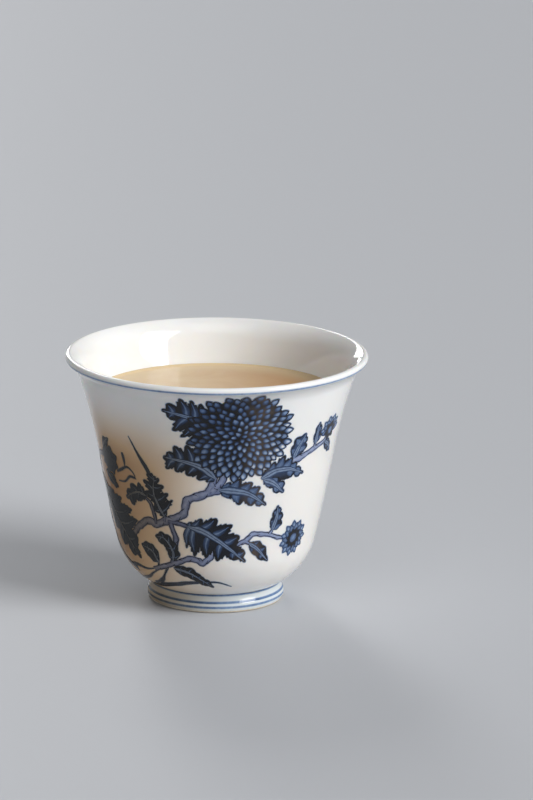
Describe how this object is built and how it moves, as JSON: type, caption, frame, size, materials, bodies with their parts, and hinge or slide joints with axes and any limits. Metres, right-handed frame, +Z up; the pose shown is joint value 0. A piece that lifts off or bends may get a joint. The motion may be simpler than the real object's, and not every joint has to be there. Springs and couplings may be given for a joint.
{
  "type": "teacup",
  "caption": "Small bell-shaped porcelain teacup with a flared lip and turned foot ring, cobalt lines and a painted chrysanthemum spray under clear glaze, holding pale amber tea.",
  "frame": {"origin": "centre of the plane that the foot ring stands on", "axes": "+Z up along the cup's axis of revolution; -Y faces the side with the painted chrysanthemum"},
  "size_m": [0.075, 0.075, 0.0625],
  "materials": {
    "porcelain": "satin",
    "bare_clay": "matte",
    "clear_glaze": "gloss",
    "cobalt": "gloss",
    "tea": "gloss"
  },
  "bodies": {
    "root": {"bowl_body": "porcelain", "foot_ring": "bare_clay", "outer_glaze": "clear_glaze", "inner_glaze": "clear_glaze", "foot_glaze": "clear_glaze", "base_glaze": "clear_glaze", "rim_line": "cobalt", "junction_line": "cobalt", "foot_line_upper": "cobalt", "foot_line_lower": "cobalt", "tea": "tea"}
  },
  "joints": []
}
